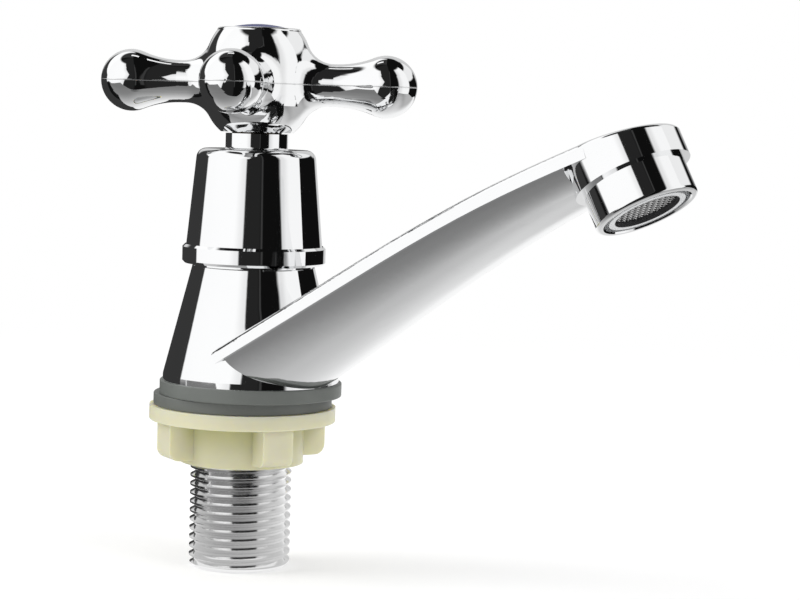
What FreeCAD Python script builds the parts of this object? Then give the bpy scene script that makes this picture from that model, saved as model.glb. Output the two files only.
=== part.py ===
import FreeCAD, Part
import math
import os

import Sketcher
from FreeCAD import Placement, Rotation, Vector

# Cross handle pillar tap, millimetres. +Z is up, the spout points along +X, and the origin is
# the middle of the tail at the seat: the plane where the base ring meets the basin.
# The valve stands a little in front of the tail, so everything about the valve is shifted by
# tail_setback. The handle is shut at rest.

doc = FreeCAD.newDocument("cross_handle_tap")

SIZES = [
    # base ring, body column and the shoulder that the bell cover hangs over
    ("tail_setback", 2.2),
    ("base_ring_height", 2.8),
    ("base_ring_radius", 18.5),
    ("column_foot_radius", 17.9),
    ("column_foot_height", 1.2),
    ("column_height", 23.3),
    ("column_top_radius", 12.4),
    ("column_neck_radius", 11.9),
    ("column_neck_height", 3.9),
    ("seat_floor_height", 7.2),
    ("chamber_radius", 9.4),
    ("port_radius", 4.5),
    # spout: a flat strap on top, a narrower hull under it and a round nose
    ("spout_start_height", 4.9),
    ("spout_rise_angle", 29.0),
    ("spout_straight_reach", 46.0),
    ("spout_bend_radius", 360.0),
    ("spout_end_angle", 7.75),
    ("strap_root_width", 16.2),
    ("strap_thickness", 2.9),
    ("strap_edge_radius", 1.4),
    ("strap_crown", 1.3),
    ("hull_inset", 0.8),
    ("hull_root_depth", 13.6),
    ("hull_end_depth", 8.2),
    ("hull_end_gap", 5.8),
    ("hull_end_lean", 1.4),
    ("waterway_radius", 2.6),
    ("waterway_height", 11.0),
    ("nose_radius", 10.7),
    ("nose_tilt", 30.0),
    ("nose_bore_depth", 4.6),
    ("nose_edge_radius", 1.4),
    ("nose_crown", 0.15),
    ("nose_margin", 0.04),
    ("nose_length", 13.8),
    ("nose_face_reach", 96.95),
    ("nose_face_height", 39.1),
    # aerator
    ("aerator_radius", 9.45),
    ("aerator_drop", 6.8),
    ("aerator_thread_radius", 8.9),
    ("aerator_bore_radius", 8.1),
    ("aerator_lip_radius", 8.3),
    ("aerator_lip_depth", 0.3),
    ("aerator_edge_radius", 0.6),
    ("aerator_thread_length", 3.4),
    ("insert_wall", 0.95),
    ("insert_lip_level", 0.2),
    ("insert_nozzle_radius", 7.15),
    ("insert_nozzle_length", 2.8),
    ("insert_bore_radius", 6.0),
    ("insert_plate_height", 1.6),
    ("insert_plate_level", 7.4),
    ("insert_hole_radius", 0.55),
    ("insert_hole_ring", 4.6),
    ("screen_pitch", 0.8),
    ("screen_wire", 0.28),
    ("screen_thickness", 0.4),
    ("screen_level", 1.2),
    ("filter_radius", 7.2),
    ("filter_pitch", 1.5),
    ("filter_wire", 0.5),
    ("filter_thickness", 0.4),
    ("washer_height", 1.1),
    # bell cover and its collar
    ("shroud_gap", 0.5),
    ("shroud_height", 23.2),
    ("shroud_band_radius", 14.5),
    ("shroud_band_height", 3.8),
    ("shroud_band_bevel", 0.5),
    ("shroud_foot_radius", 13.75),
    ("shroud_lean", 5.4),
    ("shroud_edge_radius", 2.0),
    ("shroud_wall", 1.3),
    ("shroud_web", 1.6),
    ("collar_radius", 6.3),
    ("collar_fillet", 0.4),
    # headwork
    ("bonnet_gasket_height", 0.5),
    ("housing_thread_radius", 10.4),
    ("housing_thread_length", 9.0),
    ("housing_flange_radius", 11.6),
    ("housing_flange_height", 1.5),
    ("hex_across_flats", 19.0),
    ("hex_height", 6.0),
    ("housing_neck_radius", 7.5),
    ("housing_tip_radius", 5.0),
    ("barrel_radius", 8.6),
    ("barrel_bore_radius", 7.2),
    ("barrel_bottom_gap", 1.2),
    ("window_width", 8.0),
    ("seal_height", 2.5),
    ("seal_bore_radius", 4.8),
    ("disc_height", 3.0),
    ("disc_port_inner_radius", 1.9),
    ("disc_port_outer_radius", 5.6),
    ("disc_port_angle", 76.0),
    ("disc_slot_depth", 1.2),
    ("drive_bar_width", 4.0),
    ("key_width", 3.0),
    ("key_height", 1.6),
    ("foot_height", 2.6),
    ("shoulder_height", 1.2),
    ("spindle_radius", 4.0),
    ("o_ring_wire_radius", 0.72),
    ("o_ring_level", 8.0),
    ("o_ring_spacing", 4.5),
    ("thrust_washer_height", 0.5),
    ("circlip_thickness", 0.8),
    ("circlip_radius", 5.1),
    ("circlip_groove_radius", 3.3),
    ("circlip_mouth_width", 3.2),
    ("circlip_mouth_flare", 0.8),
    ("spline_teeth", 20),
    ("spline_root_radius", 3.5),
    ("spline_length", 9.0),
    ("screw_hole_depth", 10.0),
    # cross handle
    ("collar_height", 3.4),
    ("hub_height", 20.9),
    ("hub_foot_radius", 7.3),
    ("hub_waist_radius", 10.9),
    ("hub_top_radius", 8.45),
    ("hub_foot_rise", 7.6),
    ("hub_shoulder_drop", 8.1),
    ("hub_edge_radius", 0.6),
    ("arm_height", 9.8),
    ("arm_angle", 34.0),
    ("arm_neck_reach", 16.0),
    ("arm_neck_radius", 4.25),
    ("arm_flare_radius", 6.0),
    ("ball_reach", 26.1),
    ("ball_radius", 6.25),
    ("bush_radius", 5.4),
    ("bush_length", 10.0),
    ("hub_recess_radius", 5.7),
    ("hub_web", 1.6),
    ("screw_well_radius", 4.6),
    ("index_recess_radius", 6.0),
    ("index_recess_depth", 1.9),
    ("index_dome", 0.8),
    ("screw_head_radius", 3.6),
    ("screw_head_height", 2.2),
    ("screw_radius", 1.65),
    ("screw_length", 12.0),
    ("screw_cross_width", 0.9),
    ("screw_cross_length", 4.2),
    ("screw_cross_depth", 1.3),
    # tail, washer and backnut
    ("tail_length", 35.4),
    ("tail_socket_depth", 5.2),
    ("tail_spigot_radius", 9.2),
    ("tail_bore_radius", 6.5),
    ("thread_radius", 10.35),
    ("thread_depth", 1.05),
    ("thread_pitch", 1.814),
    ("thread_start", 0.9),
    ("tail_chamfer", 0.7),
    ("shank_gasket_height", 0.6),
    ("lower_washer_height", 2.45),
    ("lower_washer_radius", 18.2),
    ("ring_bore_radius", 10.8),
    ("nut_flange_radius", 19.0),
    ("nut_flange_height", 3.0),
    ("nut_hub_radius", 12.6),
    ("nut_hub_height", 8.6),
    ("nut_lug_reach", 17.4),
    ("nut_lug_width", 6.6),
    ("nut_lug_height", 7.6),
    ("nut_lug_round", 2.2),
    ("nut_lug_angle", -19.7),
    ("nut_bore_radius", 9.95),
    ("nut_thread_clearance", 0.2),
    # clearances
    ("running_clearance", 0.05),
    ("seating_clearance", 0.05),
    ("thread_clearance", 0.1),
    ("free_clearance", 0.3),
]

sheet = doc.addObject("Spreadsheet::Sheet", "sizes")
for row, (alias, number) in enumerate(SIZES, start=1):
    sheet.set(f"A{row}", alias)
    sheet.set(f"B{row}", str(number))
    sheet.setAlias(f"B{row}", alias)
doc.recompute()


# A size is a number together with the formula that gives it from the sheet, so a sketch gets
# its first shape from the number and stays tied to the sheet by the formula.
class Size:
    def __init__(self, value, text=None):
        self.value = value
        self.text = repr(value) if text is None else text

    def join(self, other, sign, value):
        return Size(value, f"({self.text} {sign} {size(other).text})")

    def __add__(self, other):
        return self.join(other, "+", self.value + size(other).value)

    def __sub__(self, other):
        return self.join(other, "-", self.value - size(other).value)

    def __mul__(self, other):
        return self.join(other, "*", self.value * size(other).value)

    def __truediv__(self, other):
        return self.join(other, "/", self.value / size(other).value)

    def __radd__(self, other):
        return size(other) + self

    def __rsub__(self, other):
        return size(other) - self

    def __rmul__(self, other):
        return size(other) * self

    def __rtruediv__(self, other):
        return size(other) / self

    def __neg__(self):
        return Size(-self.value, f"(0 - {self.text})")


def size(thing):
    return thing if isinstance(thing, Size) else Size(thing)


def sine(angle):
    return Size(math.sin(math.radians(size(angle).value)), f"sin({size(angle).text})")


def cosine(angle):
    return Size(math.cos(math.radians(size(angle).value)), f"cos({size(angle).text})")


def tangent(angle):
    return Size(math.tan(math.radians(size(angle).value)), f"tan({size(angle).text})")


def root(square):
    return Size(math.sqrt(square.value), f"sqrt({square.text})")


class Sizes:
    pass


s = Sizes()
for alias, number in SIZES:
    setattr(s, alias, Size(getattr(sheet, alias), f"sizes.{alias}"))

ORIGIN_AXIS = {"X": "X_Axis", "Y": "Y_Axis", "Z": "Z_Axis"}


def origin_part(body, role):
    return next(item for item in body.Origin.OriginFeatures if item.Role == role)


def bind(item, prop, dimension):
    item.setExpression(prop, size(dimension).text)


def new_body(name):
    body = doc.addObject("PartDesign::Body", name)
    body.Label = name
    return body


def place(item, along_x=None, along_z=None):
    if along_x is not None:
        bind(item, "Placement.Base.x", along_x)
    if along_z is not None:
        bind(item, "Placement.Base.z", along_z)


# A corner of an outline is (across, up). A third number is the radius of the arc that leads to
# the corner: positive bulges to the right of the way the outline runs, negative to the left.
def outline(sketch, corners):
    count = len(corners)
    first = sketch.GeometryCount
    points = [Vector(size(c[0]).value, size(c[1]).value, 0) for c in corners]
    for i, corner in enumerate(corners):
        start, end = points[i - 1], points[i]
        if len(corner) == 2:
            sketch.addGeometry(Part.LineSegment(start, end), False)
            continue
        radius = size(corner[2]).value
        chord = end - start
        right = Vector(chord.y, -chord.x, 0).normalize()
        reach = math.sqrt(max(radius * radius - chord.Length ** 2 / 4, 0))
        middle = (start + end) / 2 + right * math.copysign(abs(radius) - reach, radius)
        ends = (start, end) if radius > 0 else (end, start)
        sketch.addGeometry(Part.Arc(ends[0], middle, ends[1]), False)
    # A sketch runs every arc anticlockwise, so one that bulges left starts at its own corner.
    runs_back = [len(corner) == 3 and size(corner[2]).value < 0 for corner in corners]
    for i, corner in enumerate(corners):
        following = (i + 1) % count
        here = 1 if runs_back[i] else 2
        there = 2 if runs_back[following] else 1
        sketch.addConstraint(Sketcher.Constraint("Coincident", first + i, here, first + following, there))
        tie_point(sketch, first + i, here, corner[0], corner[1])
        if len(corner) == 3:
            radius = size(corner[2])
            length = -radius if runs_back[i] else radius
            tie(sketch, Sketcher.Constraint("Radius", first + i, length.value), length)


def tie(sketch, constraint, dimension):
    index = sketch.addConstraint(constraint)
    if "sizes." in dimension.text:
        sketch.setExpression(f"Constraints[{index}]", dimension.text)


def tie_point(sketch, geometry, end, across, up):
    for kind, axis, dimension in (("DistanceX", -2, size(across)), ("DistanceY", -1, size(up))):
        if dimension.text == "0":
            sketch.addConstraint(Sketcher.Constraint("PointOnObject", geometry, end, axis))
        else:
            tie(sketch, Sketcher.Constraint(kind, -1, 1, geometry, end, dimension.value), dimension)


def circle(sketch, across, up, radius):
    centre = Vector(size(across).value, size(up).value, 0)
    index = sketch.addGeometry(Part.Circle(centre, Vector(0, 0, 1), size(radius).value), False)
    tie_point(sketch, index, 3, across, up)
    tie(sketch, Sketcher.Constraint("Radius", index, size(radius).value), size(radius))


# The sketch planes are XZ (across is X, up is Z), XY (X, Y) and YZ (Y, Z). The offset is
# (across, up, out of the plane) and turn is anticlockwise in the plane.
def new_sketch(body, name, plane="XZ", offset=(0, 0, 0), turn=None, lean=None):
    sketch = body.newObject("Sketcher::SketchObject", name)
    sketch.AttachmentSupport = [(origin_part(body, f"{plane}_Plane"), "")]
    sketch.MapMode = "FlatFace"
    rotation = Rotation()
    if turn is not None:
        rotation = Rotation(Vector(0, 0, 1), size(turn).value)
    if lean is not None:
        rotation = Rotation(Vector(-1, 0, 0), size(lean).value)
    start = Vector(*[size(part).value for part in offset])
    sketch.AttachmentOffset = Placement(start, rotation)
    for axis, part in zip("xyz", offset):
        if "sizes." in size(part).text:
            bind(sketch, f"AttachmentOffset.Base.{axis}", part)
    for angle in (turn, lean):
        if angle is not None and "sizes." in size(angle).text:
            bind(sketch, "AttachmentOffset.Rotation.Angle", angle)
    return sketch


def revolve(body, kind, name, corners, **where):
    sketch = new_sketch(body, f"{name}_sketch", **where)
    outline(sketch, corners)
    feature = body.newObject(f"PartDesign::{kind}", name)
    feature.Profile = sketch
    feature.ReferenceAxis = (sketch, ["V_Axis"])
    feature.Angle = 360
    return feature


def extrude(body, kind, name, sketch, length, reverse=False, midplane=False):
    feature = body.newObject(f"PartDesign::{kind}", name)
    feature.Profile = sketch
    bind(feature, "Length", length)
    feature.Reversed = reverse
    feature.Midplane = midplane
    return feature


def polar(body, feature, count, name):
    pattern = body.newObject("PartDesign::PolarPattern", name)
    pattern.Originals = [feature]
    pattern.Axis = (origin_part(body, "Z_Axis"), [""])
    pattern.Angle = 360
    if isinstance(count, Size):
        bind(pattern, "Occurrences", count)
    else:
        pattern.Occurrences = count
    body.Tip = pattern
    return pattern


def turned(name, corners, along_x=s.tail_setback):
    body = new_body(name)
    revolve(body, "Revolution", f"{name}_turning", corners)
    if along_x is not None:
        place(body, along_x=along_x)
    return body


def ring(name, inner, outer, bottom, height, along_x=s.tail_setback):
    top = bottom + height
    return turned(name, [(inner, bottom), (outer, bottom), (outer, top), (inner, top)], along_x)


# ---------------------------------------------------------------- levels that pieces share
body_base = s.base_ring_height
column_top = body_base + s.column_height
body_top = column_top + s.column_neck_height
seat_level = body_base + s.seat_floor_height
shroud_base = column_top + s.shroud_gap
shroud_top = shroud_base + s.shroud_height
shroud_shoulder = shroud_top - s.shroud_web
hub_bottom = shroud_top + s.collar_height
hub_top = hub_bottom + s.hub_height
arm_level = hub_bottom + s.arm_height
flange_bottom = body_top + s.bonnet_gasket_height
flange_top = flange_bottom + s.housing_flange_height
thread_bottom = body_top - s.housing_thread_length
disc_bottom = seat_level + s.seal_height
turning_disc_bottom = disc_bottom + s.disc_height + s.running_clearance
turning_disc_top = turning_disc_bottom + s.disc_height
foot_bottom = turning_disc_top
shoulder_bottom = foot_bottom + s.foot_height
shoulder_top = shoulder_bottom + s.shoulder_height
barrel_ceiling = shoulder_top + s.running_clearance
clip_level = hub_bottom + s.free_clearance + s.thrust_washer_height + s.running_clearance
bush_bottom = clip_level + s.circlip_thickness + s.free_clearance
bush_top = bush_bottom + s.bush_length
web_top = bush_top + s.hub_web
turning_bore_radius = s.spindle_radius + s.running_clearance


# ---------------------------------------------------------------- tap body
# One casting: the column that holds the valve, the spout and its nose, hollow for the water.
def spout_station(reach):
    """The spout's top line at one reach along X: across, up and slope of the line there."""
    return reach, s.spout_start_height + body_base + reach * tangent(s.spout_rise_angle), s.spout_rise_angle


def bent_station(fall):
    """The same past the straight part, where the line has fallen by an angle from its rise."""
    slope = s.spout_rise_angle - fall
    start = spout_station(s.spout_straight_reach)
    across = start[0] + s.spout_bend_radius * (sine(s.spout_rise_angle) - sine(slope))
    up = start[1] + s.spout_bend_radius * (cosine(slope) - cosine(s.spout_rise_angle))
    return across, up, slope


def nose_point(up_axis):
    """A point of the nose's axis, a given way above the aerator's face."""
    across = s.nose_face_reach - up_axis * sine(s.nose_tilt)
    up = body_base + s.nose_face_height + up_axis * cosine(s.nose_tilt)
    return across, up


# The strap ends on the nose's axis, and the hull a little before it.
end_slope = s.spout_rise_angle - s.spout_end_angle
end_station = (*nose_point(s.nose_length), end_slope)
hull_end_slope = end_slope + s.hull_end_lean
hull_end_station = (
    end_station[0] - s.hull_end_gap * cosine(hull_end_slope),
    end_station[1] - s.hull_end_gap * sine(hull_end_slope),
    hull_end_slope,
)


def strap_half_width(reach):
    taper = (s.strap_root_width - s.nose_radius - s.nose_margin) / end_station[0]
    return s.strap_root_width - reach * taper


def strap_section(body, name, station, crown):
    across, up, slope = station
    sketch = new_sketch(body, name, plane="YZ", offset=(0, up, across), lean=slope)
    half = strap_half_width(across)
    flat = half - s.strap_edge_radius
    crown_radius = (flat * flat + crown * crown) / (2 * crown)
    outline(sketch, [
        (-half, -s.strap_thickness),
        (half, -s.strap_thickness),
        (half, -s.strap_edge_radius),
        (flat, 0, s.strap_edge_radius),
        (-flat, 0, crown_radius),
        (-half, -s.strap_edge_radius, s.strap_edge_radius),
    ])
    return sketch


HULL_SIDE_SHARE = 0.616
HULL_DROP_SHARE = 0.788


def hull_section(body, name, station, depth):
    across, up, slope = station
    sketch = new_sketch(body, name, plane="YZ", offset=(0, up, across), lean=slope)
    half = strap_half_width(across) - s.hull_inset
    top = s.strap_thickness / 2
    drop = depth - top
    knee = half * HULL_SIDE_SHARE
    knee_drop = drop * HULL_DROP_SHARE
    overhang = half - knee
    side_radius = (overhang * overhang + knee_drop * knee_drop) / (2 * overhang)
    rise = drop - knee_drop
    keel_radius = (knee * knee + rise * rise) / (2 * rise)
    outline(sketch, [
        (-half, -top),
        (-knee, -top - knee_drop, side_radius),
        (knee, -top - knee_drop, keel_radius),
        (half, -top, side_radius),
    ])
    return sketch


def loft(body, name, sections, kind="AdditiveLoft"):
    feature = body.newObject(f"PartDesign::{kind}", name)
    feature.Profile = sections[0]
    feature.Sections = sections[1:]
    feature.Ruled = False
    feature.Closed = False
    return feature


tap_body = new_body("tap_body")
place(tap_body, along_x=s.tail_setback)

# Nose: a short cylinder square to the aerator. Its crowned top with the rounded edge is turned
# square to the spout's end, about an axis that meets the nose's own where the rounding starts.
rim_across, rim_up = nose_point(s.aerator_drop)
blank_height = s.nose_length - s.aerator_drop + s.nose_edge_radius * 2
revolve(tap_body, "Revolution", "nose_blank", [
    (0, 0), (s.nose_radius, 0), (s.nose_radius, blank_height), (0, blank_height),
], offset=(rim_across, rim_up, 0), turn=s.nose_tilt)
nose_bend = s.nose_tilt - end_slope
cap_across, cap_up = nose_point(s.nose_length - s.nose_edge_radius / cosine(nose_bend))
cap_radius = s.nose_radius / cosine(nose_bend) + s.nose_margin
cap_flat = cap_radius - s.nose_edge_radius
cap_arc = (cap_flat * cap_flat + s.nose_crown * s.nose_crown) / (2 * s.nose_crown)
cap_side = cap_radius + s.nose_edge_radius * 2
revolve(tap_body, "Groove", "nose_top", [
    (0, s.nose_radius),
    (0, s.nose_edge_radius + s.nose_crown),
    (cap_flat, s.nose_edge_radius, -cap_arc),
    (cap_radius, 0, -s.nose_edge_radius),
    (cap_side, 0),
    (cap_side, s.nose_radius),
], offset=(cap_across, cap_up, 0), turn=end_slope)

straight_stations = [
    spout_station(size(0)),
    spout_station(s.spout_straight_reach / 2),
    spout_station(s.spout_straight_reach),
]
bent_stations = [bent_station(s.spout_end_angle / 3), bent_station(s.spout_end_angle * 2 / 3)]
strap_end_station = (end_station[0], end_station[1] - s.nose_margin, end_slope)
strap_stations = straight_stations + bent_stations + [strap_end_station]
crown_shares = [1, 1, 1, 0.75, 0.4]
crowns = [s.strap_crown * share for share in crown_shares] + [s.nose_crown]
loft(tap_body, "strap", [
    strap_section(tap_body, f"strap_section_{n}", station, crown)
    for n, (station, crown) in enumerate(zip(strap_stations, crowns), start=1)
])

hull_stations = straight_stations + bent_stations[:1] + [hull_end_station]


def hull_depth(reach):
    return s.hull_root_depth - (s.hull_root_depth - s.hull_end_depth) * reach / hull_end_station[0]


loft(tap_body, "hull", [
    hull_section(tap_body, f"hull_section_{n}", station, hull_depth(station[0]))
    for n, station in enumerate(hull_stations, start=1)
])

revolve(tap_body, "Revolution", "column", [
    (0, body_base),
    (s.column_foot_radius, body_base),
    (s.column_foot_radius, body_base + s.column_foot_height),
    (s.column_top_radius, column_top),
    (s.column_neck_radius, column_top),
    (s.column_neck_radius, body_top),
    (0, body_top),
])

# The hull is cut off level with the column's foot, and the nose below its rim.
under = new_sketch(tap_body, "under_sketch")
cut_reach = s.nose_face_reach
outline(under, [(-cut_reach, -cut_reach), (cut_reach, -cut_reach), (cut_reach, body_base), (-cut_reach, body_base)])
extrude(tap_body, "Pocket", "under_cut", under, s.column_foot_radius * 4, midplane=True)
revolve(tap_body, "Groove", "rim_cut", [
    (0, -10), (s.nose_radius, -10), (s.nose_radius, 0), (0, 0),
], offset=(rim_across, rim_up, 0), turn=s.nose_tilt)

# Water comes up the tail, through the seat into the chamber and along the spout to the nose.
revolve(tap_body, "Groove", "valve_bore", [
    (0, seat_level),
    (s.chamber_radius, seat_level),
    (s.chamber_radius, thread_bottom),
    (s.housing_thread_radius + s.seating_clearance, thread_bottom),
    (s.housing_thread_radius + s.seating_clearance, body_top + 1),
    (0, body_top + 1),
])
socket_top = body_base + s.tail_socket_depth
revolve(tap_body, "Groove", "tail_socket", [
    (0, body_base - 1),
    (s.tail_spigot_radius + s.seating_clearance, body_base - 1),
    (s.tail_spigot_radius + s.seating_clearance, socket_top),
    (0, socket_top),
], offset=(-s.tail_setback, 0, 0))
revolve(tap_body, "Groove", "seat_port", [
    (0, socket_top - 1), (s.port_radius, socket_top - 1), (s.port_radius, seat_level + 1), (0, seat_level + 1),
])
revolve(tap_body, "Groove", "nose_bore", [
    (0, -1),
    (s.aerator_thread_radius + s.thread_clearance, -1),
    (s.aerator_thread_radius + s.thread_clearance, s.nose_bore_depth),
    (0, s.nose_bore_depth),
], offset=(rim_across, rim_up, 0), turn=s.nose_tilt)

knee_reach = s.column_foot_radius + s.waterway_radius * 4
level_start = (s.barrel_radius - s.waterway_radius, body_base + s.waterway_height, size(0))
bores = [(level_start, size(0))]
for station in (spout_station(knee_reach), bent_stations[0], hull_end_station):
    bores.append((station, hull_depth(station[0]) / 2))
bores.append((end_station, s.nose_bore_depth))
bore_sections = []
for n, ((across, up, slope), depth) in enumerate(bores, start=1):
    section = new_sketch(tap_body, f"waterway_section_{n}", plane="YZ", offset=(0, up, across), lean=slope)
    circle(section, 0, -depth, s.waterway_radius)
    bore_sections.append(section)
loft(tap_body, "waterway", bore_sections, kind="SubtractiveLoft")
doc.recompute()


# ---------------------------------------------------------------- tail, ring, washer and backnut
def thread_cut(body, kind, name, corners, height):
    sketch = new_sketch(body, f"{name}_sketch")
    outline(sketch, corners)
    feature = body.newObject(f"PartDesign::{kind}", name)
    feature.Profile = sketch
    feature.ReferenceAxis = (sketch, ["V_Axis"])
    feature.Mode = 0
    bind(feature, "Pitch", s.thread_pitch)
    bind(feature, "Height", height)
    return feature


# Tail: a bored shank with a pipe thread, screwed into the column's foot.
THREAD_HALF_ANGLE = 27.5
tail_bottom = -s.tail_length
spigot_top = socket_top - s.shank_gasket_height
threaded_shank = turned("threaded_shank", [
    (s.tail_bore_radius, tail_bottom),
    (s.thread_radius - s.tail_chamfer, tail_bottom),
    (s.thread_radius, tail_bottom + s.tail_chamfer),
    (s.thread_radius, -s.thread_start),
    (s.tail_spigot_radius, -s.thread_start + s.thread_radius - s.tail_spigot_radius),
    (s.tail_spigot_radius, spigot_top),
    (s.tail_bore_radius, spigot_top),
], along_x=None)
groove_spare = 0.3
groove_root = s.thread_radius - s.thread_depth
groove_half = (s.thread_depth + groove_spare) * tangent(THREAD_HALF_ANGLE)
groove_flat = s.thread_pitch * 0.1
groove_level = tail_bottom - s.thread_pitch
thread_cut(threaded_shank, "SubtractiveHelix", "tail_thread", [
    (groove_root, groove_level - groove_flat),
    (s.thread_radius + groove_spare, groove_level - groove_flat - groove_half),
    (s.thread_radius + groove_spare, groove_level + groove_flat + groove_half),
    (groove_root, groove_level + groove_flat),
], s.tail_length + s.thread_pitch - s.thread_start)

ring("shank_gasket", s.tail_bore_radius, s.tail_spigot_radius, spigot_top, s.shank_gasket_height, along_x=None)

# Base ring: soft ring between the column's foot and the basin. Its bore is about the tail.
base_ring = new_body("base_ring")
ring_sketch = new_sketch(base_ring, "base_ring_sketch", plane="XY")
circle(ring_sketch, s.tail_setback, 0, s.base_ring_radius)
circle(ring_sketch, 0, 0, s.ring_bore_radius)
extrude(base_ring, "Pad", "base_ring_pad", ring_sketch, s.base_ring_height)

ring("lower_washer", s.ring_bore_radius, s.lower_washer_radius, -s.lower_washer_height,
     s.lower_washer_height, along_x=None)

# Backnut: moulded flange and hub with four lugs for the fingers, on the tail's thread.
nut_top = -s.lower_washer_height
flange_under = nut_top - s.nut_flange_height
nut_bottom = flange_under - s.nut_hub_height
backnut = new_body("backnut")
revolve(backnut, "Revolution", "nut_turning", [
    (s.nut_bore_radius, nut_bottom),
    (s.nut_hub_radius, nut_bottom),
    (s.nut_hub_radius, flange_under),
    (s.nut_flange_radius, flange_under),
    (s.nut_flange_radius, nut_top),
    (s.nut_bore_radius, nut_top),
])
lug_bottom = flange_under - s.nut_lug_height
lug_sketch = new_sketch(backnut, "lug_sketch")
outline(lug_sketch, [
    (s.nut_hub_radius - 1, lug_bottom),
    (s.nut_lug_reach - s.nut_lug_round, lug_bottom),
    (s.nut_lug_reach, lug_bottom + s.nut_lug_round, s.nut_lug_round),
    (s.nut_lug_reach, flange_under + 0.5),
    (s.nut_hub_radius - 1, flange_under + 0.5),
])
lug = extrude(backnut, "Pad", "lug", lug_sketch, s.nut_lug_width, midplane=True)
polar(backnut, lug, 4, "lugs")
backnut.Placement.Rotation = Rotation(Vector(0, 0, 1), (s.nut_lug_angle + 90).value)
bind(backnut, "Placement.Rotation.Angle", s.nut_lug_angle + 90)

# The nut's grooves follow the tail's ridges, a clearance away on every side.
ridge_half = s.thread_pitch / 2 - groove_flat
nut_groove_root = s.thread_radius + s.nut_thread_clearance
nut_groove_mouth = s.nut_bore_radius - groove_spare


def nut_groove_half(radius):
    return ridge_half - (radius - groove_root) * tangent(THREAD_HALF_ANGLE) + s.nut_thread_clearance


turn_share = (s.nut_lug_angle + 90) / 360
nut_groove_level = groove_level + s.thread_pitch * (turn_share + 0.5 + 11)
thread_cut(backnut, "SubtractiveHelix", "nut_thread", [
    (nut_groove_root, nut_groove_level - nut_groove_half(nut_groove_root)),
    (nut_groove_root, nut_groove_level + nut_groove_half(nut_groove_root)),
    (nut_groove_mouth, nut_groove_level + nut_groove_half(nut_groove_mouth)),
    (nut_groove_mouth, nut_groove_level - nut_groove_half(nut_groove_mouth)),
], s.nut_flange_height + s.nut_hub_height + s.thread_pitch * 2)
doc.recompute()


# ---------------------------------------------------------------- bell cover and collar
# Cover: a thin spun bell with a band round its mouth, hung on the housing's shoulder.
band_top = shroud_base + s.shroud_band_height
lean = tangent(s.shroud_lean)
bell_corner = s.shroud_foot_radius - (shroud_top - band_top) * lean
edge_drop = s.shroud_edge_radius * (1 - sine(s.shroud_lean))
edge_side = bell_corner + edge_drop * lean
edge_crown = edge_side - s.shroud_edge_radius * cosine(s.shroud_lean)
tip_bore_radius = s.housing_tip_radius + s.seating_clearance
turned("shroud", [
    (s.shroud_band_radius - s.shroud_wall, shroud_base),
    (s.shroud_band_radius - s.shroud_band_bevel, shroud_base),
    (s.shroud_band_radius, shroud_base + s.shroud_band_bevel),
    (s.shroud_band_radius, band_top - s.shroud_band_bevel),
    (s.shroud_band_radius - s.shroud_band_bevel, band_top),
    (s.shroud_foot_radius, band_top),
    (edge_side, shroud_top - edge_drop),
    (edge_crown, shroud_top, s.shroud_edge_radius),
    (tip_bore_radius, shroud_top),
    (tip_bore_radius, shroud_shoulder),
    (bell_corner - s.shroud_wall * 1.5, shroud_shoulder),
    (bell_corner - s.shroud_wall, shroud_shoulder - s.shroud_wall),
    (s.shroud_foot_radius - s.shroud_wall, band_top),
])

collar_top = hub_bottom - s.free_clearance
turned("shroud_collar", [
    (tip_bore_radius, shroud_top),
    (s.collar_radius + s.collar_fillet, shroud_top),
    (s.collar_radius, shroud_top + s.collar_fillet, -s.collar_fillet),
    (s.collar_radius, collar_top),
    (tip_bore_radius, collar_top),
])


# ---------------------------------------------------------------- headwork
# Housing: screwed in the column, sealed by a gasket under its flange, with a hexagon for a key.
barrel_bottom = seat_level + s.barrel_bottom_gap
hex_top = flange_top + s.hex_height
tip_top = hub_bottom + s.free_clearance
cartridge_housing = turned("cartridge_housing", [
    (s.barrel_bore_radius, barrel_bottom),
    (s.barrel_radius, barrel_bottom),
    (s.barrel_radius, thread_bottom),
    (s.housing_thread_radius, thread_bottom),
    (s.housing_thread_radius, flange_bottom),
    (s.housing_flange_radius, flange_bottom),
    (s.housing_flange_radius, flange_top),
    (s.housing_neck_radius, flange_top),
    (s.housing_neck_radius, shroud_shoulder),
    (s.housing_tip_radius, shroud_shoulder),
    (s.housing_tip_radius, tip_top),
    (turning_bore_radius, tip_top),
    (turning_bore_radius, barrel_ceiling),
    (s.barrel_bore_radius, barrel_ceiling),
])
hexagon = new_sketch(cartridge_housing, "hexagon_sketch", plane="XY", offset=(0, 0, flange_top))
corner = s.hex_across_flats / 2 / cosine(30)
outline(hexagon, [(corner * cosine(60 * n), corner * sine(60 * n)) for n in range(6)])
circle(hexagon, 0, 0, s.housing_neck_radius - 1)
extrude(cartridge_housing, "Pad", "hexagon", hexagon, s.hex_height)


def bar(body, kind, name, bottom, height, length, width, plane_turn=0):
    """A straight block or slot through the axis, flat ends square to X."""
    sketch = new_sketch(body, f"{name}_sketch", plane="XY", offset=(0, 0, bottom))
    across, along = (length / 2, width / 2) if plane_turn == 0 else (width / 2, length / 2)
    outline(sketch, [(-across, -along), (across, -along), (across, along), (-across, along)])
    return extrude(body, kind, name, sketch, height, reverse=kind == "Pocket")


window_height = thread_bottom - s.running_clearance - foot_bottom
bar(cartridge_housing, "Pocket", "windows", foot_bottom, window_height,
    s.barrel_radius * 2 + 2, s.window_width, plane_turn=90)
key_slot_top = disc_bottom + s.key_height + s.running_clearance
bar(cartridge_housing, "Pocket", "key_slots", barrel_bottom, key_slot_top - barrel_bottom,
    s.barrel_radius * 2 + 2, s.key_width + s.running_clearance * 2)

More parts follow.
